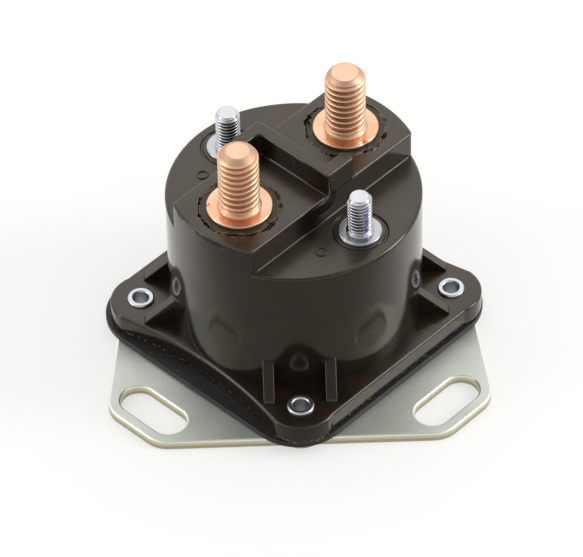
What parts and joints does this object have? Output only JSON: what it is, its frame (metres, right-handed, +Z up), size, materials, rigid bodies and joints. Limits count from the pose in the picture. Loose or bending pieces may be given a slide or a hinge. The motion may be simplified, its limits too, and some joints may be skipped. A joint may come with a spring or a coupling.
{
  "type": "starter relay",
  "caption": "Starter relay with a round moulded body, stepped terminal top with barrier, copper and plated studs, on a slotted mounting plate.",
  "frame": {"origin": "on the mounting plate's underside, under the round body's axis", "axes": "+Z up along the body's axis and the studs, +X along the plate's straight front edge to the right ear, -Y towards the two slotted ears"},
  "size_m": [0.0753, 0.0752, 0.0568],
  "materials": {
    "phenolic": "dark brown moulded phenolic, glossy on the upright walls and satin on top",
    "rubber": "black rubber, satin",
    "zinc": "zinc plated steel, satin with fine grain",
    "stud_copper": "bare copper, semi-bright",
    "inner_steel": "plain steel, satin",
    "tube_brass": "bare brass, satin",
    "fibre": "red-brown vulcanised fibre, matt",
    "enamel": "enamelled copper wire, glossy amber",
    "nylon": "natural nylon, matt"
  },
  "bodies": {
    "base": {"housing": "phenolic", "gasket": "rubber", "mounting_plate": "zinc", "eyelets": "zinc", "main_stud_left": "stud_copper", "main_stud_right": "stud_copper", "main_collar_left": "stud_copper", "main_collar_right": "stud_copper", "start_stud": "zinc", "ignition_stud": "zinc", "start_collar": "zinc", "ignition_collar": "zinc", "yoke": "inner_steel", "pole_plate": "inner_steel", "coil_former": "nylon", "coil_winding": "enamel", "coil_tape": "fibre", "guide_tube": "tube_brass", "bumper": "fibre", "return_spring": "inner_steel", "contact_finger": "stud_copper", "solder_tag": "tube_brass", "coil_lead": "enamel", "ground_lead": "enamel"},
    "armature": {"plunger": "inner_steel", "push_rod": "zinc", "spring_seat": "inner_steel", "rod_clip": "inner_steel", "contact_spring": "inner_steel"},
    "contact_bridge": {"contact_disc": "stud_copper", "disc_bush": "fibre", "disc_washer": "fibre"}
  },
  "joints": [
    {"name": "armature_slide", "type": "slide", "parent": "base", "child": "armature", "axis": [0, 0, 1], "range_m": [0, 0.003], "stiffness_N_per_m": 400, "springref_m": -0.003, "deforming": ["return_spring"]},
    {"name": "bridge_slide", "type": "slide", "parent": "armature", "child": "contact_bridge", "axis": [0, 0, 1], "range_m": [-0.0006, 0], "deforming": ["contact_spring"]}
  ],
  "couplings": [
    {"joint": "bridge_slide", "follows": "armature_slide", "ratio": -0.2}
  ]
}
